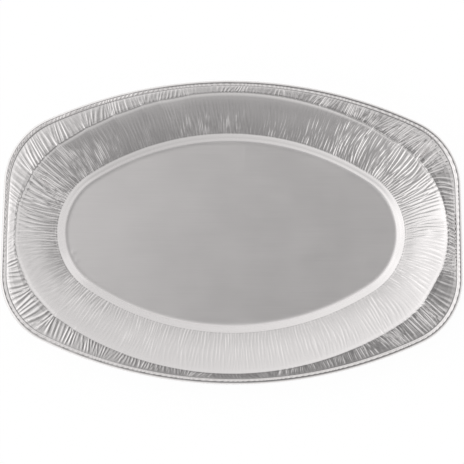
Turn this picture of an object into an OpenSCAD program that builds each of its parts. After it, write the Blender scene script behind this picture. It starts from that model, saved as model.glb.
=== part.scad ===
// Shallow oval serving tray, pressed from one sheet of aluminium foil.
// The sheet runs from a flat floor up a short steep collar, on up a pleated wall to
// a shoulder, across a pleated ledge and into a rolled edge.
// The origin is on the table, under the middle of the floor, and X is the long way.

/* [Foil] */
// Thickness of the foil
foil = 0.1; // [0.06:0.01:0.2]

/* [Floor] */
// Length of the flat floor
floor_l = 316; // [260:1:380]
// Width of the flat floor
floor_w = 175; // [150:1:215]
// Radius of the floor's two round ends
floor_end_r = 57.5; // [45:0.5:68]

/* [Collar] */
// Width of the gentle curve from the floor into the collar
curve_w = 2.5; // [1.5:0.5:4]
// How far that curve rises
curve_h = 0.4; // [0.2:0.1:0.6]
// Width of the steep collar round the floor, seen from above
collar_w = 6; // [5:0.5:9]
// Height of the collar's upper edge, where the wall starts
collar_h = 5.2; // [3:0.1:6.5]
// How far the collar swells above a straight slope, at its middle
collar_swell = 0.25; // [0:0.05:0.4]

/* [Wall] */
// Width of the sloping wall, seen from above
wall_w = 36.7; // [24:0.1:50]
// Height of the shoulder, where the wall ends
wall_h = 20; // [13:0.5:32]
// How far the wall hangs below a straight slope, at its middle
wall_sag = 1.2; // [0:0.1:2.5]

/* [Ledge] */
// Width of the ledge at the middle of a short end
ledge_end_w = 8.2; // [6:0.1:14]
// Width of the ledge at the middle of a long side
ledge_side_w = 6.1; // [5:0.1:12]
// How far the ledge falls from the shoulder to the rolled edge
ledge_fall = 0.5; // [0:0.1:1.5]

/* [Rolled edge] */
// Outside diameter of the roll
roll_d = 4.6; // [3:0.1:6]
// How far the foil turns in the roll, in degrees
roll_turn = 310; // [240:5:330]
// How much larger the radius of the rim's long sides is than a line parallel to the shoulder's
side_flattening = 121; // [40:1:240]
// Radius of the rim's short ends
rim_end_r = 3200; // [1200:10:6000]
// Radius of the rim's four corners
rim_corner_r = 68; // [55:1:75]

/* [Pleats] */
// Pleats between two neighbouring plain steps of the outline
pleats = 3; // [1:1:3]
// Depth of the pleats at the foot of the wall
foot_pleat = 0.25; // [0:0.05:0.4]
// Depth of the pleats in the middle of the wall
wall_pleat = 0.8; // [0:0.05:1.2]
// Depth of the pleats at the shoulder
shoulder_pleat = 0.35; // [0:0.05:0.6]
// Depth of the pleats in the ledge, as a share of its width, which is greatest at the corners
ledge_pleat = 0.035; // [0:0.005:0.045]
// How unequal the pleats are, as a share of their depth and spacing
pleat_scatter = 0.5; // [0:0.05:0.6]

/* [Hidden] */

// Steps of the outline in a quarter: round its end, and along its side
end_steps = 8;
side_steps = 10;
quarter_steps = end_steps + side_steps;
// A plain ring has a point at each step, and a pleated ring a ridge and a valley for each pleat
plain = 4 * quarter_steps;
split = 2 * pleats;
pleated = plain * split;

// The floor is an oval of two end arcs and two side arcs, tangent where they meet
floor_a = floor_l / 2;
floor_b = floor_w / 2;
end_x = floor_a - floor_end_r;
floor_side_r = (pow(floor_b, 2) + pow(end_x, 2) - pow(floor_end_r, 2)) / (2 * (floor_b - floor_end_r));
side_y = floor_b - floor_side_r;
// Direction in which an end arc gives way to a side arc
join_angle = atan2(-side_y, end_x);

// The shoulder runs parallel to the floor's edge
foot_out = curve_w + collar_w;
shoulder_out = foot_out + wall_w;

// The rim has an outline of its own: two side arcs, two end arcs and four corners
rim_a = floor_a + shoulder_out + ledge_end_w + roll_d;
rim_b = floor_b + shoulder_out + ledge_side_w + roll_d;
rim_side_r = floor_side_r + shoulder_out + ledge_side_w + roll_d + side_flattening;
side_c = [0, rim_b - rim_side_r];
end_c = [rim_a - rim_end_r, 0];
corner_c = circles_meet(side_c, rim_side_r - rim_corner_r, end_c, rim_end_r - rim_corner_r);

// The upper of the two points where two circles cross
function circles_meet(c1, r1, c2, r2) =
    let (
        apart = norm(c2 - c1),
        along = (r1 * r1 - r2 * r2 + apart * apart) / (2 * apart),
        up = sqrt(r1 * r1 - along * along),
        u = (c2 - c1) / apart)
    c1 + along * u + up * [u[1], -u[0]];

// How far a ray from p along d runs before it leaves a circle
function ray_to_circle(p, d, c, r) =
    let (q = p - c, b = q * d)
    -b + sqrt(b * b - q * q + r * r);

// Direction of the outline's normal at a place counted in steps from +X
function step_angle(s) =
    let (
        quarter = floor(s / quarter_steps),
        into = s - quarter * quarter_steps)
    quarter % 2 == 0
        ? 90 * quarter + quarter_angle(into)
        : 90 * (quarter + 1) - quarter_angle(quarter_steps - into);
function quarter_angle(s) =
    s <= end_steps
        ? join_angle * s / end_steps
        : join_angle + (90 - join_angle) * (s - end_steps) / side_steps;

// A point of the floor's edge in the first quarter, moved out by w
function oval_point(angle, w) =
    let (d = [cos(angle), sin(angle)])
    angle <= join_angle
        ? [end_x, 0] + (floor_end_r + w) * d
        : [0, side_y] + (floor_side_r + w) * d;

// Whether a lies further round from +X than b
function further(a, b) = b[0] * a[1] > b[1] * a[0];

// How far it is from the shoulder to the line that lies inset inside the rim
function to_rim(angle, inset) =
    let (
        d = [cos(angle), sin(angle)],
        p = oval_point(angle, shoulder_out),
        corner = ray_to_circle(p, d, corner_c, rim_corner_r - inset),
        hit = p + corner * d - corner_c)
    further(hit, corner_c - end_c) && further(corner_c - side_c, hit)
        ? corner
        : min(
            ray_to_circle(p, d, side_c, rim_side_r - inset),
            ray_to_circle(p, d, end_c, rim_end_r - inset));

// Height at a share of the way between two heights, bent up by so much in the middle
function bent_rise(from, to, bend, share) = from + (to - from) * share + 4 * bend * share * (1 - share);

// The section from the floor's edge to the shoulder, as [out, height, pleat depth].
// The pleats start where the collar meets the wall.
collar_shares = [0, 0.3, 0.75];
wall_shares = [0, 0.45, 1];
wall_pleats = [foot_pleat, wall_pleat, shoulder_pleat];
section = concat(
    [[0, 0, 0]],
    [for (share = collar_shares)
        [curve_w + collar_w * share, bent_rise(curve_h, collar_h, collar_swell, share), 0]],
    [for (i = [0 : len(wall_shares) - 1])
        let (share = wall_shares[i])
        [foot_out + wall_w * share, bent_rise(collar_h, wall_h, -wall_sag, share), wall_pleats[i]]]);

// Slope of the section before its point i; the floor and the ledge are level
function slope_before(i) =
    i == 0 || i == len(section)
        ? 0
        : atan2(section[i][1] - section[i - 1][1], section[i][0] - section[i - 1][0]);

// Each station of the sheet is [out, ledge share, inset, height, tilt, pleat depth].
// It lies out from the floor's edge, and past the shoulder by a share of the way to
// the line inset inside the rim. Height is that of the middle of the foil, and the
// foil's upper side leans towards the middle of the tray by tilt.
body_stations = [for (i = [0 : len(section) - 1])
    [section[i][0], 0, 0, foil / 2 + section[i][1], (slope_before(i) + slope_before(i + 1)) / 2, section[i][2]]];

// The ledge's pleats are deepest at this share of its width, and fade out where the roll starts
ledge_share = 0.5;
shoulder_z = foil / 2 + wall_h;
ledge_stations = [[shoulder_out, ledge_share, roll_d, shoulder_z - ledge_fall * ledge_share, 0, ledge_pleat]];

// The foil meets the roll half way up its inner side and turns over the top
roll_steps = 7;
roll_r = roll_d / 2;
roll_z = shoulder_z - ledge_fall;
first_tilt = 45;
roll_stations = [for (i = [0 : roll_steps])
    let (a = 180 - roll_turn * i / roll_steps, mid_r = roll_r - foil / 2)
    [shoulder_out, 1, roll_r - mid_r * cos(a), roll_z + mid_r * sin(a), i == 0 ? first_tilt : a - 90, 0]];

stations = concat(body_stations, ledge_stations, roll_stations);
last = len(stations) - 1;

// Unequal depths and places of the pleats, the same at every build
scatter_seed = 17;
depth_scatter = rands(1 - pleat_scatter, 1, pleated, scatter_seed);
place_scatter = rands(-pleat_scatter / 2, pleat_scatter / 2, pleated * len(stations), scatter_seed + 1);

// The rings from the foot of the wall to the start of the roll carry the pleats
first_pleated = len(body_stations) - len(wall_shares);
last_pleated = len(body_stations) + len(ledge_stations);
function is_pleated(i) = i >= first_pleated && i <= last_pleated;
function ring_size(i) = is_pleated(i) ? pleated : plain;
// Number of the first point of ring i
function ring_start(i) = i == 0 ? 0 : ring_start(i - 1) + ring_size(i - 1);

// The points of ring i, on the upper (side 1) or lower (side -1) face of the foil
function ring(i, side) = [
    for (n = [0 : ring_size(i) - 1])
        let (
            ridge = n % 2 == 0 ? 1 : -1,
            shift = (place_scatter[n] + place_scatter[n + i * pleated]) / 2,
            s = is_pleated(i) ? (n + shift + pleated) % pleated / split : n,
            angle = step_angle(s),
            lift = is_pleated(i) ? ridge * pleat_depth(stations[i], angle) * depth_scatter[n] / 2 : 0)
        foil_point(stations[i], angle, lift + side * foil / 2)
];

function pleat_depth(st, angle) =
    st[1] == 0 ? st[5] : st[5] * to_rim(first_quarter(angle), roll_d);

// The same direction, mirrored into the first quarter
function first_quarter(angle) = atan2(abs(sin(angle)), abs(cos(angle)));

// A point of a station, lifted off the middle of the foil along the section's normal.
// It is worked out in the first quarter and mirrored to its own.
function foil_point(st, angle, lift) =
    let (
        first = first_quarter(angle),
        lean = lift * sin(st[4]),
        in_roll = st[1] == 1,
        out = st[0] - (in_roll ? 0 : lean)
            + (st[1] == 0 ? 0 : st[1] * to_rim(first, st[2] + (in_roll ? lean : 0))),
        p = oval_point(first, out))
    [sign(cos(angle)) * p[0], sign(sin(angle)) * p[1], st[3] + lift * cos(st[4])];

// Faces between a ring of na points from a and the next of nb points from b, clockwise from above
function band(a, na, b, nb) =
    na == nb ? [for (i = [0 : na - 1])
            let (j = (i + 1) % na)
            each [[a + i, a + j, b + i], [b + i, a + j, b + j]]]
        : na < nb ? fans(a, na, b, nb)
        : reversed(fans(b, nb, a, na));

// Faces between a plain ring and a pleated one. Each plain point takes the pleats half a
// step to either side, and one more face reaches the next plain point.
function fans(a, na, b, nb) =
    let (k = nb / na)
    [for (i = [0 : na - 1]) each concat(
        [for (j = [-k / 2 : k / 2 - 1])
            [a + i, b + (i * k + j + 1 + nb) % nb, b + (i * k + j + nb) % nb]],
        [[a + i, a + (i + 1) % na, b + (i * k + k / 2) % nb]])];

function reversed(faces) = [for (f = faces) [for (i = [len(f) - 1 : -1 : 0]) f[i]]];

module foil_tray() {
    under = ring_start(last + 1);
    points = [for (side = [1, -1], i = [0 : last]) each ring(i, side)];
    upper = [for (i = [0 : last - 1])
        each band(ring_start(i), ring_size(i), ring_start(i + 1), ring_size(i + 1))];
    lower = reversed([for (f = upper) [for (v = f) v + under]]);
    foil_edge = band(ring_start(last), plain, under + ring_start(last), plain);
    floor_top = [[for (i = [plain - 1 : -1 : 0]) i]];
    floor_under = [[for (i = [0 : plain - 1]) under + i]];
    color("silver")
        polyhedron(points, concat(upper, lower, foil_edge, floor_top, floor_under), convexity = 6);
}

foil_tray();
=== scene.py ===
import math

import bpy
import numpy as np
from mathutils import Matrix, Vector


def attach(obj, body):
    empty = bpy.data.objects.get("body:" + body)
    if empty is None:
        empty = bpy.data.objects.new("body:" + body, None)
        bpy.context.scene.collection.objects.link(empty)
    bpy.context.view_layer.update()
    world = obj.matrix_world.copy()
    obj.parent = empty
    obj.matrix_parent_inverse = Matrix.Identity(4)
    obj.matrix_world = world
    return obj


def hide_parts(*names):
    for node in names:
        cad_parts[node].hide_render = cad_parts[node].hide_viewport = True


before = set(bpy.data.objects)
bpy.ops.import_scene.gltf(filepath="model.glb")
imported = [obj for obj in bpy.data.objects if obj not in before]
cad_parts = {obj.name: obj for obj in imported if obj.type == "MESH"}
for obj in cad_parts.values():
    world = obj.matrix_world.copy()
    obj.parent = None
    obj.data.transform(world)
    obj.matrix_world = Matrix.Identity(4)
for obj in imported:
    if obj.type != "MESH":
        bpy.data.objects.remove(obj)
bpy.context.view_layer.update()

# The tray is pressed from one sheet of aluminium foil. Its floor is an oval of two end arcs and
# two side arcs, and the lines of the wall run parallel to it. A place round the tray is counted
# along the line half way up the wall, in metres anticlockwise from +X.
mm = 0.001
foil = 0.1 * mm
floor_a = 158 * mm
floor_b = 87.5 * mm
floor_end_r = 57.5 * mm
half_up = 26.5 * mm
end_x = floor_a - floor_end_r
floor_side_r = (floor_b**2 + end_x**2 - floor_end_r**2) / (2 * (floor_b - floor_end_r))
side_y = floor_b - floor_side_r
join_angle = math.atan2(-side_y, end_x)
end_run = (floor_end_r + half_up) * join_angle
quarter_run = end_run + (floor_side_r + half_up) * (math.pi / 2 - join_angle)
round_run = 4 * quarter_run


def direction_at(place):
    """The outline's normal at a place: its angle in the first quarter, and its own quarter's signs."""
    quarter, into = np.divmod(np.mod(place, round_run), quarter_run)
    along = np.where(quarter % 2 == 0, into, quarter_run - into)
    on_end = along / (floor_end_r + half_up)
    on_side = join_angle + (along - end_run) / (floor_side_r + half_up)
    sign_x = np.where((quarter == 0) | (quarter == 3), 1, -1)
    sign_y = np.where(quarter < 2, 1, -1)
    return np.where(along <= end_run, on_end, on_side), sign_x, sign_y


def oval_point(angle, out):
    """A point of the floor's edge in the first quarter, moved out along its normal."""
    on_end = angle <= join_angle
    radius = np.where(on_end, floor_end_r, floor_side_r) + out
    centre_x = np.where(on_end, end_x, 0)
    centre_y = np.where(on_end, 0, side_y)
    return np.stack([centre_x + radius * np.cos(angle), centre_y + radius * np.sin(angle)], -1)


# The sheet is worked out as rings of points in the middle of the foil, from the floor outwards.
# The fine rings carry the creases of the wall and ledge, and the plain ones have half as many
# points.
fine_count = 1584
plain_count = fine_count // 2
fine_places = np.arange(fine_count) * round_run / fine_count
plain_places = np.arange(plain_count) * round_run / plain_count
rings = []
ring_across = []
ring_creased = []


def add_ring(place, out, height, across, creased=0):
    """One ring of the sheet. Across is its distance from the floor's edge, measured level, and
    creased is how deep its creases are."""
    angle, sign_x, sign_y = direction_at(place)
    flat = oval_point(angle, out)
    height = np.broadcast_to(height, flat[:, 0].shape)
    rings.append(np.stack([flat[:, 0] * sign_x, flat[:, 1] * sign_y, height], -1))
    ring_across.append(across)
    ring_creased.append(np.broadcast_to(creased, flat[:, 0].shape))


# The floor is flat and dead straight from the rolling mill. Handling has left two small dents at
# its left edge and a faint crease at its far edge, where the foil was pushed against the collar.
floor_rings = [-27.5 * mm, -13.5 * mm, -6.5 * mm, -3 * mm, -1.2 * mm]
floor_dents = [
    # middle x, middle y, half width, half length, depth
    (-152.5 * mm, -21 * mm, 2.6 * mm, 2.0 * mm, 0.22 * mm),
    (-149.5 * mm, -29.5 * mm, 2.4 * mm, 1.8 * mm, 0.2 * mm),
    (13 * mm, 79 * mm, 1.4 * mm, 9 * mm, 0.1 * mm),
]
floor_z = foil / 2
for out in floor_rings:
    add_ring(plain_places, out, floor_z, out)
    for x, y, half_w, half_l, depth in floor_dents:
        away = ((rings[-1][:, 0] - x) / half_w) ** 2 + ((rings[-1][:, 1] - y) / half_l) ** 2
        rings[-1][:, 2] += depth * np.exp(-away)

# A short steep collar stiffens the floor's edge. The floor curves up into it gently. Its lower and
# upper edges are steeper than its middle, and a fold at its top parts it from the wall.
collar_line = [
    # out from the floor's edge, height, in millimetres
    (0, 0.06), (1.0, 0.24), (1.9, 0.53), (2.5, 0.88), (3.1, 1.4), (3.8, 2.05), (5.0, 2.86),
    (6.9, 3.98), (7.5, 4.55), (8.1, 5.12),
]
for collar_out, height in collar_line:
    add_ring(plain_places, collar_out * mm, floor_z + height * mm, collar_out * mm)

# Drawing the flat sheet down into the tray gathers it into creases. They are the ridges of seeded
# waves, kept to a narrow band of spacings round the tray and stretched across it, so that they
# wander, fork and end as real ones do. A wave's own strength only shows a little in its ridges,
# which leaves no bare stretches.
field_step = 1 * mm
field_rows = 64
crease_sharpness = 2.2
crease_evenness = 0.45
strongest_wave = 1.4
patch_spread = 0.25
least_patch = 0.4
most_patch = 1.5


def waves(seed, count, spread, reach):
    """A complex wave field: about count ridges round the tray, each about reach long across it."""
    source = np.random.default_rng(seed)
    shape = (field_rows, fine_count)
    noise = source.standard_normal(shape) + 1j * source.standard_normal(shape)
    around = np.fft.fftfreq(fine_count, 1 / fine_count)
    across = np.fft.fftfreq(field_rows, field_step)
    band = np.exp(-(((around / count - 1) / spread) ** 2) / 2) * (around > 0)
    length = np.exp(-((across * reach) ** 2) / 2)
    field = np.fft.ifft2(noise * band[None, :] * length[:, None])
    return field / np.sqrt((np.abs(field) ** 2).mean())


def ridges(wave):
    """Creases from 0 to about 1 high along the crests of a row of waves."""
    strength = np.abs(wave)
    crest = np.exp(crease_sharpness * (wave.real / strength - 1))
    return crest * np.minimum(strength, strongest_wave) ** crease_evenness


def at_across(field, across):
    """The row of a crease field at a distance across the sheet."""
    row = across / field_step
    low = int(row)
    return field[low] + (row - low) * (field[low + 1] - field[low])


def drift(seed, length):
    """Seeded noise of spread 1 that changes round the tray over about a length."""
    noise = np.random.default_rng(seed).standard_normal(fine_count)
    around = np.abs(np.fft.fftfreq(fine_count, 1 / fine_count))
    smooth = np.exp(-((around * length / round_run) ** 2) * 2)
    slow = np.fft.ifft(np.fft.fft(noise) * smooth).real
    return slow / slow.std()


def round_values(stops):
    """Values at all fine places, from pairs of a place in millimetres and a value there."""
    places, values = zip(*stops)
    return np.interp(fine_places, np.array(places) * mm, values, period=round_run)


def patches(seed, length):
    """How much deeper or flatter the creases are from place to place."""
    return np.clip(1 + patch_spread * drift(seed, length), least_patch, most_patch)


def smooth_step(low, high, value):
    """0 below low, 1 above high, and a smooth rise from one to the other."""
    t = np.clip((value - low) / (high - low), 0, 1)
    return t * t * (3 - 2 * t)


# The shoulder is a sharp fold, kinked where a bundle of creases crosses it. Each kink pulls the
# creases on both of its sides towards itself.
kinks = [
    # place in millimetres, strength
    (46, 0.5), (62, 0.8), (80, 0.9), (107, 0.7), (277, 0.4), (303, 0.5), (320, 0.6), (347, 0.7),
    (374, 0.5), (401, 1.0), (416, 0.9), (431, 1.0), (457, 0.6), (486, 0.5), (501, 0.5), (525, 0.8),
    (553, 0.8), (573, 0.6), (620, 0.3), (854, 0.6), (894, 0.5), (925, 0.4),
]
kink_reach = 9 * mm
kink_pull = 0.75
kink_width = 1.3 * mm
kink_h = 0.5 * mm
pull = np.zeros(fine_count)
kinked = np.zeros(fine_count)
for kink_place, strength in kinks:
    away = np.mod(fine_places - kink_place * mm + round_run / 2, round_run) - round_run / 2
    pull -= kink_pull * strength * away * np.exp(-((away / kink_reach) ** 2))
    kinked += strength * np.exp(-((away / kink_width) ** 2))

# Between two neighbouring kinks the fold runs nearly straight.
kink_places = np.array([kink_place for kink_place, strength in kinks])[:, None] * mm
since_kink = np.mod(fine_places - kink_places, round_run).min(0)
until_kink = np.mod(kink_places - fine_places, round_run).min(0)
longest_chord = 38 * mm
is_chord = since_kink + until_kink < longest_chord

# The wall slopes up in a slightly hollow curve. Its creases are finest at the collar. They are
# deepest at the right end and the far left corner, and die out before the shoulder on the sides.
wall_w = 36.7 * mm
foot_out = 8.5 * mm
foot_h = 5.2 * mm
wall_h = 20 * mm
wall_sag = 1.2 * mm
shoulder_out = foot_out + wall_w
shoulder_drop = 0.5 * mm
drop_from = 0.55
drop_to = 0.975
wall_shares = [0, 0.05, 0.14, 0.24, 0.34, 0.44, 0.54, 0.64, 0.74, 0.83, 0.91, 0.975, 1]
wall_crease_h = mm * round_values([
    (0, 0.52), (45, 0.7), (80, 0.68), (110, 0.5), (160, 0.4), (238, 0.4), (300, 0.36), (340, 0.36),
    (388, 0.4), (404, 0.9), (432, 0.95), (455, 0.8), (477, 0.6), (520, 0.42), (580, 0.26),
    (715, 0.2), (850, 0.28), (890, 0.4),
])
wall_crease_top = round_values([
    (0, 1.15), (45, 1.25), (80, 1.25), (110, 1.1), (160, 0.9), (238, 0.8), (330, 0.75), (386, 0.85),
    (404, 1.2), (432, 1.25), (455, 1.25), (477, 1.2), (530, 1.0), (580, 0.85), (640, 0.95), (850, 0.95),
    (900, 1.1),
])
short_waves = waves(seed=3, count=320, spread=0.26, reach=9 * mm)
long_waves = waves(seed=4, count=275, spread=0.3, reach=18 * mm)
wall_patches = patches(seed=5, length=16 * mm)
wall_wander = 2.6 * mm * drift(seed=6, length=40 * mm)
crease_middle = 0.35
# Each change starts and ends at a share of the wall, 0 at its foot and 1 at the shoulder.
long_from = 0.2
long_to = 0.75
fade_before_top = 0.4
fade_past_top = 0.08
left_past_top = 0.08
foot_depth = 0.35
foot_fade = 0.08
shoulder_loss = 0.7
loss_from = 0.93
kink_from = 0.85
chord_from = 0.5
chord_inset = np.where(is_chord, since_kink * until_kink / (2 * (floor_end_r + shoulder_out)), 0)
for share in wall_shares:
    rise = foot_h + (wall_h - foot_h) * share - 4 * wall_sag * share * (1 - share)
    rise -= shoulder_drop * smooth_step(drop_from, drop_to, share) * (share < 1)
    slope = math.atan2((wall_h - foot_h) - 4 * wall_sag * (1 - 2 * share), wall_w)
    tilt = slope * (0.5 if share in (0, 1) else 1)
    across = wall_w * share
    short = 1 - smooth_step(long_from, long_to, share)
    wave = short * at_across(short_waves, across) + (1 - short) * at_across(long_waves, across)
    ridge = ridges(wave)
    to_top = 1 - smooth_step(wall_crease_top - fade_before_top, wall_crease_top + fade_past_top, share)
    from_foot = foot_depth + (1 - foot_depth) * smooth_step(0, foot_fade, share)
    depth = wall_crease_h * wall_patches * (left_past_top + (1 - left_past_top) * to_top) * from_foot
    depth *= 1 - shoulder_loss * smooth_step(loss_from, 1, share)
    lift = depth * (ridge - crease_middle) + kink_h * kinked * smooth_step(kink_from, 1, share)
    slide = share * (pull * share + wall_wander * 2 * (1 - share))
    straight = chord_inset * smooth_step(chord_from, 1, share)
    out = foot_out + wall_w * share - lift * math.sin(tilt) - straight
    add_ring(fine_places + slide, out, floor_z + rise + lift * math.cos(tilt), foot_out + across, depth)

# The ledge lies nearly level between the shoulder and the roll. The rim's outline is not parallel
# to the shoulder, so that it widens at the four corners. Its creases are strongest at the right
# end, and the roll has pressed them flat beside it.
ledge_end_w = 8.2 * mm
ledge_side_w = 6.1 * mm
ledge_fall = 0.5 * mm
roll_d = 4.6 * mm
side_flattening = 121 * mm
rim_end_r = 3200 * mm
rim_corner_r = 68 * mm
rim_a = floor_a + shoulder_out + ledge_end_w + roll_d
rim_b = floor_b + shoulder_out + ledge_side_w + roll_d
rim_side_r = floor_side_r + shoulder_out + ledge_side_w + roll_d + side_flattening
side_centre = np.array([0, rim_b - rim_side_r])
end_centre = np.array([rim_a - rim_end_r, 0])


def circles_meet(c1, r1, c2, r2):
    """The upper of the two points where two circles cross."""
    apart = np.linalg.norm(c2 - c1)
    along = (r1**2 - r2**2 + apart**2) / (2 * apart)
    up = math.sqrt(r1**2 - along**2)
    u = (c2 - c1) / apart
    return c1 + along * u + up * np.array([u[1], -u[0]])


corner_centre = circles_meet(
    side_centre, rim_side_r - rim_corner_r, end_centre, rim_end_r - rim_corner_r
)


def ray_to_circle(start, ray, centre, radius):
    """How far along a ray from inside a circle the circle is met."""
    q = start - centre
    b = (q * ray).sum(-1)
    return -b + np.sqrt(np.maximum(b * b - (q * q).sum(-1) + radius**2, 0))


def further(a, b):
    """Whether a lies further round from +X than b."""
    return b[..., 0] * a[..., 1] > b[..., 1] * a[..., 0]


def to_rim(place, inset):
    """How far the line that lies inset inside the rim's outline is from the shoulder."""
    angle = direction_at(place)[0]
    ray = np.stack([np.cos(angle), np.sin(angle)], -1)
    start = oval_point(angle, shoulder_out)
    corner = ray_to_circle(start, ray, corner_centre, rim_corner_r - inset)
    hit = start + corner[:, None] * ray - corner_centre
    side = ray_to_circle(start, ray, side_centre, rim_side_r - inset)
    end = ray_to_circle(start, ray, end_centre, rim_end_r - inset)
    in_corner = further(hit, corner_centre - end_centre) & further(corner_centre - side_centre, hit)
    return np.where(in_corner, corner, np.minimum(side, end))


shoulder_z = floor_z + wall_h
rim_shift = np.array([0.89 * mm, 0.73 * mm])
ledge_shares = [0.04, 0.2, 0.4, 0.6, 0.78, 0.93]
ledge_crease_h = mm * round_values([
    (0, 1.25), (60, 1.2), (105, 0.85), (150, 0.45), (200, 0.22), (260, 0.18), (320, 0.24),
    (395, 0.3), (430, 0.38), (477, 0.44), (500, 0.52), (522, 0.56), (560, 0.52), (590, 0.3),
    (620, 0.22), (715, 0.22), (800, 0.3), (850, 0.75), (890, 1.15),
])
ledge_waves = waves(seed=8, count=305, spread=0.32, reach=9 * mm)
ledge_patches = patches(seed=9, length=14 * mm)
ledge_wander = 3.2 * mm * drift(seed=10, length=26 * mm)
nominal_ledge = 9 * mm
# Each change starts and ends at a share of the ledge, 0 at the shoulder and 1 at the roll.
ledge_fade = 0.3
ledge_fade_start = -0.1
roll_loss = 0.95
roll_loss_from = 0.68
roll_loss_to = 0.95
kink_to = 0.3
chord_to = 0.6
for share in ledge_shares:
    ridge = ridges(at_across(ledge_waves, nominal_ledge * share))
    from_shoulder = smooth_step(0, ledge_fade, share - ledge_fade_start)
    to_roll = 1 - roll_loss * smooth_step(roll_loss_from, roll_loss_to, share)
    depth = ledge_crease_h * ledge_patches * from_shoulder * to_roll
    kink = kink_h * kinked * (1 - smooth_step(0, kink_to, share))
    lift = depth * (ridge - crease_middle) + kink
    place = fine_places + pull * (1 - share) + ledge_wander * share
    straight = chord_inset * (1 - smooth_step(0, chord_to, share))
    out = shoulder_out + share * to_rim(place, roll_d) - straight
    across = shoulder_out + nominal_ledge * share
    add_ring(place, out, shoulder_z - ledge_fall * share + lift, across, depth)
    rings[-1][:, :2] += rim_shift * share

# The sheet's edge is rolled under, so that no cut edge is left for a hand to touch. The roll has
# been pressed a little flat here and there.
roll_turn = math.radians(310)
roll_steps = 9
roll_r = roll_d / 2
roll_z = shoulder_z - ledge_fall
roll_mid_r = roll_r - foil / 2
roll_dent = 0.1 * mm
roll_dents = roll_dent * np.clip(drift(seed=12, length=9 * mm), -1, 2)[::2]
for step in range(roll_steps + 1):
    turn = math.pi - roll_turn * step / roll_steps
    place = plain_places + ledge_wander[::2]
    radius = roll_mid_r - roll_dents * smooth_step(0, 1, math.sin(turn))
    out = shoulder_out + to_rim(place, roll_r - roll_mid_r * math.cos(turn))
    across = shoulder_out + nominal_ledge + roll_mid_r * (math.pi - turn)
    add_ring(place, out, roll_z + radius * math.sin(turn), across)
    rings[-1][:, :2] += rim_shift

# The rings are joined into one closed mesh: the same surface twice, half the foil's thickness to
# either side of the middle, closed at the roll's inner edge.
starts = np.cumsum([0] + [len(r) for r in rings])
middle = np.concatenate(rings)


def strip(inner, outer):
    """Faces between two rings, anticlockwise from above. A plain ring meets a fine one in fans."""
    a, b, count = starts[inner], starts[outer], min(len(rings[inner]), len(rings[outer]))
    i = np.arange(count)
    j = (i + 1) % count
    if len(rings[inner]) == len(rings[outer]):
        return [tuple(f) for f in np.stack([a + i, b + i, b + j, a + j], -1).tolist()]
    own, half, after = 2 * i, 2 * i + 1, (2 * i + 2) % (2 * count)
    if len(rings[outer]) > count:
        fans = [(a + i, b + own, b + half), (a + i, b + half, a + j), (a + j, b + half, b + after)]
    else:
        fans = [(b + i, a + half, a + own), (b + j, a + half, b + i), (b + j, a + after, a + half)]
    return [tuple(f) for fan in fans for f in np.stack(fan, -1).tolist()]


upper_faces = [tuple(range(plain_count))]
for ring in range(len(rings) - 1):
    upper_faces += strip(ring, ring + 1)

normals = np.zeros_like(middle)
for size in (3, 4):
    group = np.array([f for f in upper_faces if len(f) == size])
    one_way = middle[group[:, 2]] - middle[group[:, 0]]
    other_way = middle[group[:, -1]] - middle[group[:, 1]]
    face_normal = np.cross(one_way, other_way)
    for corner in range(size):
        np.add.at(normals, group[:, corner], face_normal)
normals[:plain_count] = (0, 0, 1)
normals /= np.linalg.norm(normals, axis=1)[:, None]

points = np.concatenate([middle + normals * foil / 2, middle - normals * foil / 2])
points[:, 2] = np.maximum(points[:, 2], 0)
under = len(middle)
lower_faces = [tuple(under + v for v in reversed(f)) for f in upper_faces]
edge = starts[-2]
edge_faces = [
    (edge + i, under + edge + i, under + edge + (i + 1) % plain_count, edge + (i + 1) % plain_count)
    for i in range(plain_count)
]
sheet_mesh = bpy.data.meshes.new("foil_tray_sheet")
sheet_mesh.from_pydata(points.tolist(), [], upper_faces + lower_faces + edge_faces)
sheet_mesh.update()
sheet_mesh.shade_smooth()
tray = bpy.data.objects.new("foil_tray_sheet", sheet_mesh)
bpy.context.scene.collection.objects.link(tray)

# The finish is told where it is on the sheet by three values at each point: how far round the
# tray, from 0 to 1, how far across the sheet, in metres from the floor's edge, and how deep the
# creases are there. A face that closes the round counts its end as 1, not as 0.
point_round = np.concatenate([np.arange(len(r)) / len(r) for r in rings])
point_across = np.concatenate([np.full(len(r), a) for r, a in zip(rings, ring_across)])
loop_point = np.zeros(len(sheet_mesh.loops), int)
sheet_mesh.loops.foreach_get("vertex_index", loop_point)
loop_total = np.zeros(len(sheet_mesh.polygons), int)
sheet_mesh.polygons.foreach_get("loop_total", loop_total)
loop_round = point_round[loop_point % under]
loop_face = np.repeat(np.arange(len(loop_total)), loop_total)
face_top = np.zeros(len(loop_total))
np.maximum.at(face_top, loop_face, loop_round)
last_tenth = 0.9
most_sides = 4
is_last_face = (face_top[loop_face] > last_tenth) & (loop_total[loop_face] <= most_sides)
wraps = (loop_round == 0) & is_last_face
loop_round = loop_round + wraps
crease_depth = sheet_mesh.attributes.new("crease_depth", "FLOAT", "POINT")
crease_depth.data.foreach_set("value", np.tile(np.concatenate(ring_creased), 2))
on_sheet = sheet_mesh.uv_layers.new(name="on_sheet")
on_sheet.data.foreach_set("uv", np.stack([loop_round, point_across[loop_point % under]], -1).ravel())


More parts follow.
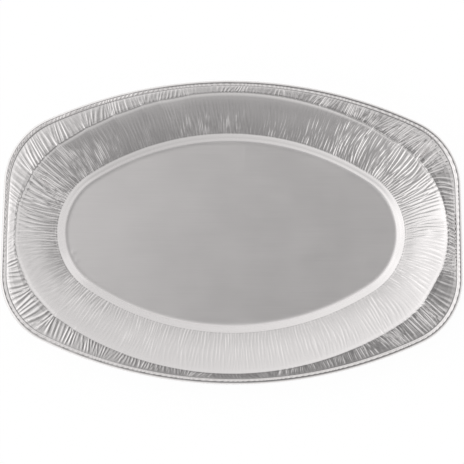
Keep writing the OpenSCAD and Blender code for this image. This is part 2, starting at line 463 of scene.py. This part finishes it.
# The foil is bare aluminium. The floor is the mill's matte side and shows faint lines along its
# rolling direction; the drawn wall, ledge and roll are burnished by the tool and finely creased.
class Wire:
    """An output of a node. Sums and products of wires add the Math nodes that work them out."""

    def __init__(self, tree, socket=None):
        self.tree = tree
        self.socket = socket

    def node(self, kind, settings=None, inputs=None, output=0):
        made = self.tree.nodes.new(kind)
        for name, value in (settings or {}).items():
            setattr(made, name, value)
        for name, value in (inputs or {}).items():
            if isinstance(value, Wire):
                self.tree.links.new(value.socket, made.inputs[name])
            else:
                made.inputs[name].default_value = value
        return Wire(self.tree, made.outputs[output] if made.outputs else None)

    def math(self, operation, *values):
        return self.node("ShaderNodeMath", {"operation": operation}, dict(enumerate(values)))

    def __add__(self, other):
        return self.math("ADD", self, other)

    def __radd__(self, other):
        return self.math("ADD", other, self)

    def __sub__(self, other):
        return self.math("SUBTRACT", self, other)

    def __rsub__(self, other):
        return self.math("SUBTRACT", other, self)

    def __mul__(self, other):
        return self.math("MULTIPLY", self, other)

    def __rmul__(self, other):
        return self.math("MULTIPLY", other, self)

    def between(self, low, high):
        """0 below low, 1 above high, and a smooth rise from one to the other."""
        return self.node(
            "ShaderNodeMapRange",
            {"interpolation_type": "SMOOTHSTEP"},
            {"Value": self, "From Min": low, "From Max": high},
        )


foil_finish = bpy.data.materials.new("bare_foil")
foil_finish.use_nodes = True
foil_finish.node_tree.nodes.clear()
bare = Wire(foil_finish.node_tree)
sheet_uv = bare.node("ShaderNodeUVMap", {"uv_map": "on_sheet"})
round_share = bare.node("ShaderNodeSeparateXYZ", inputs={"Vector": sheet_uv}, output="X")
across = bare.node("ShaderNodeSeparateXYZ", inputs={"Vector": sheet_uv}, output="Y")
spot = bare.node("ShaderNodeTexCoord", output="Object")

past_ledge = across - (shoulder_out + nominal_ledge)
off_floor = across.between(1.5 * mm, 3 * mm)
on_ledge = across.between(shoulder_out - 0.2 * mm, shoulder_out + 0.2 * mm)
on_roll = past_ledge.between(-0.3 * mm, 0.3 * mm)

# Fine creases too small for the mesh: noise on a ring as long as the tray's own round, drawn out
# across the sheet. They are as deep as a share of the creases that they lie on.
round_angle = round_share * (2 * math.pi)
ring_r = round_run / (2 * math.pi)
hair_stretch = 0.07
ring_spot = bare.node(
    "ShaderNodeCombineXYZ",
    inputs={
        "X": bare.math("COSINE", round_angle) * ring_r,
        "Y": bare.math("SINE", round_angle) * ring_r,
        "Z": across * hair_stretch,
    },
)
hair_scale = 330.0
hairs = bare.node(
    "ShaderNodeTexNoise",
    inputs={"Vector": ring_spot, "Scale": hair_scale, "Detail": 1.0, "Roughness": 0.5},
)
hair_crest = 1 - bare.math("ABSOLUTE", hairs * 2 - 1)
creased = bare.node("ShaderNodeAttribute", {"attribute_name": "crease_depth"}, output="Fac")
hair_share = 0.65

# The rolling wheel has left slanted nicks along the roll's inner half, clearest at the far left.
roll_ticks = 246.0
tick_slant = 1400.0
tick_h = 0.35 * mm
least_ticked = 0.25
far_left = round_share.between(0.3, 0.34) * (1 - round_share.between(0.5, 0.53))
ticked = least_ticked + (1 - least_ticked) * far_left
on_inner_half = past_ledge.between(0.1 * mm, 0.6 * mm) * (1 - past_ledge.between(2.2 * mm, 3.2 * mm))
ticks = bare.math("SINE", round_angle * roll_ticks + across * tick_slant) * ticked * on_inner_half

# The mill has left faint lines along the sheet and a finer grain. The tool has pressed both flat
# outside the floor, where the lines only tint the foil.
mill_stretch = (0.02, 1, 1)
mill_scale = 900.0
mill_h = 0.004 * mm
stretched = bare.node("ShaderNodeVectorMath", {"operation": "MULTIPLY"}, {0: spot, 1: mill_stretch})
mill_lines = bare.node(
    "ShaderNodeTexNoise",
    inputs={"Vector": stretched, "Scale": mill_scale, "Detail": 3.0, "Roughness": 0.6},
)
grain_scale = 2600.0
grain_h = 0.003 * mm
grain = bare.node("ShaderNodeTexNoise", inputs={"Vector": spot, "Scale": grain_scale, "Detail": 2.0})
relief = hair_crest * creased * hair_share + ticks * tick_h
relief = relief + (mill_lines * mill_h + grain * grain_h) * (1 - off_floor)
bumped = bare.node(
    "ShaderNodeBump", inputs={"Height": relief, "Strength": 1.0, "Distance": 1.0}, output="Normal"
)

# Each part of the sheet is glossier than the one before it, with soft clouds of handling.
floor_roughness = 0.42
wall_gloss = 0.23
ledge_gloss = 0.02
roll_gloss = 0.04
cloud_scale = 22.0
cloud_gloss = 0.08
line_gloss = 0.1
clouds = bare.node("ShaderNodeTexNoise", inputs={"Vector": spot, "Scale": cloud_scale, "Detail": 3.0})
roughness = floor_roughness - wall_gloss * off_floor - ledge_gloss * on_ledge - roll_gloss * on_roll
roughness = roughness + (clouds - 0.5) * cloud_gloss + (mill_lines - 0.5) * line_gloss * (1 - off_floor)
dull_foil = (0.815, 0.79, 0.786, 1)
bright_foil = (0.90, 0.874, 0.868, 1)
line_share = 0.6
tint = bare.node(
    "ShaderNodeMix",
    {"data_type": "RGBA"},
    {0: mill_lines * line_share + clouds * (1 - line_share), 6: dull_foil, 7: bright_foil},
    output=2,
)
foil_shader = bare.node(
    "ShaderNodeBsdfPrincipled",
    inputs={"Base Color": tint, "Metallic": 1.0, "Roughness": roughness, "Normal": bumped},
)
bare.node("ShaderNodeOutputMaterial", inputs={"Surface": foil_shader})
sheet_mesh.materials.append(foil_finish)

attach(tray, "root")
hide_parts("foil_tray")

# The tray stands on a plain white table top with a low white backdrop round its edge. The camera
# sees both as white, and the table still takes the tray's shadow.
table_r = 8.0
backdrop_h = 0.9
table_sides = 64
edge_turns = [2 * math.pi * side / table_sides for side in range(table_sides)]
table_points = [
    (table_r * math.cos(edge_turn), table_r * math.sin(edge_turn), z)
    for z in (0, backdrop_h)
    for edge_turn in edge_turns
]
table_faces = [tuple(range(table_sides))]
for side in range(table_sides):
    after = (side + 1) % table_sides
    table_faces.append((side, after, table_sides + after, table_sides + side))
table_mesh = bpy.data.meshes.new("table_top")
table_mesh.from_pydata(table_points, [], table_faces)
table = bpy.data.objects.new("table_top", table_mesh)
bpy.context.scene.collection.objects.link(table)
table_paint = bpy.data.materials.new("table_white")
table_paint.use_nodes = True
table_paint.node_tree.nodes.clear()
top = Wire(table_paint.node_tree)
tabletop_white = (0.85, 0.85, 0.85, 1)
glow_strength = 1.07
matt_white = top.node("ShaderNodeBsdfDiffuse", inputs={"Color": tabletop_white})
white = top.node("ShaderNodeEmission", inputs={"Color": (1, 1, 1, 1), "Strength": glow_strength})
seen = top.node("ShaderNodeLightPath", output="Is Camera Ray")
mirrored = top.node("ShaderNodeLightPath", output="Is Glossy Ray")
passed = top.node("ShaderNodeLightPath", output="Is Transmission Ray")
whiteness = 0.85
shown = top.math("MINIMUM", seen + mirrored + passed, 1.0) * whiteness
table_shader = top.node("ShaderNodeMixShader", inputs={0: shown, 1: matt_white, 2: white})
top.node("ShaderNodeOutputMaterial", inputs={"Surface": table_shader})
table_mesh.materials.append(table_paint)

# The light is a soft tent of white cloth, brighter on its left. Its ceiling is dim round the
# camera's opening, with a lamp behind the cloth at its left and dim folds in front and at the back.
room = bpy.data.worlds.new("light_tent")
bpy.context.scene.world = room
room.use_nodes = True
room.node_tree.nodes.clear()
tent = Wire(room.node_tree)
towards = tent.node("ShaderNodeTexCoord", output="Generated")
to_right = tent.node("ShaderNodeSeparateXYZ", inputs={"Vector": towards}, output="X")
to_back = tent.node("ShaderNodeSeparateXYZ", inputs={"Vector": towards}, output="Y")


def glow(x, y, width):
    """A soft round patch of the ceiling, 1 in its middle."""
    patch_middle = (x, y, math.sqrt(1 - x * x - y * y))
    away = tent.node(
        "ShaderNodeVectorMath", {"operation": "DISTANCE"}, {0: towards, 1: patch_middle}, "Value"
    )
    return tent.math("EXPONENT", away * away * (-1 / width**2))


right_level = 0.66
left_gain = 0.45
low_right_gain = 0.13
low_back_gain = 0.1
ceiling_patches = [
    # to the right, to the back, width, gain
    (-0.083, 0, 0.454, -0.6),
    (-0.475, 0, 0.313, 0.43),
    (0.38, -0.42, 0.3, -0.24),
    (-0.4, -0.45, 0.3, -0.42),
    (0, -0.6, 0.3, -0.08),
    (0.2, 0.27, 0.17, -0.14),
    (-0.18, -0.14, 0.12, 0.22),
    (-0.68, -0.1, 0.25, 0.14),
    (-0.32, 0.45, 0.2, 0.08),
]
level = right_level + left_gain * (0 - to_right).between(-0.3, 1.01)
level = level + low_right_gain * to_right.between(0.36, 0.52)
level = level + low_back_gain * to_back.between(0.43, 0.48)
for x, y, width, gain in ceiling_patches:
    level = level + gain * glow(x, y, width)
light = tent.node("ShaderNodeBackground", inputs={"Color": (1, 1, 1, 1), "Strength": level})
tent.node("ShaderNodeOutputWorld", inputs={"Surface": light})

# The camera looks almost straight down, leaning a little from the front.
camera_distance = 743 * mm
camera_lean = math.radians(5.83)
camera_roll = 0.0081
aim = Vector((0.95 * mm, 0.39 * mm, 0))
# The photo's width and the focal length in its pixels, and the sensor's width in millimetres.
view_span = 464
focal_px = 770.3
sensor = 36.0
back = Vector((0, -math.sin(camera_lean), math.cos(camera_lean)))
level_up = Vector((0, math.cos(camera_lean), math.sin(camera_lean)))
right = math.cos(camera_roll) * Vector((1, 0, 0)) + math.sin(camera_roll) * level_up
up = back.cross(right)
camera_data = bpy.data.cameras.new("camera")
camera_data.sensor_fit = "HORIZONTAL"
camera_data.sensor_width = sensor
camera_data.lens = focal_px / view_span * sensor
camera = bpy.data.objects.new("camera", camera_data)
bpy.context.scene.collection.objects.link(camera)
turned = Matrix((right, up, back)).transposed().to_4x4()
camera.matrix_world = Matrix.Translation(aim + camera_distance * back) @ turned
bpy.context.scene.camera = camera
bpy.context.scene.view_settings.view_transform = "Standard"
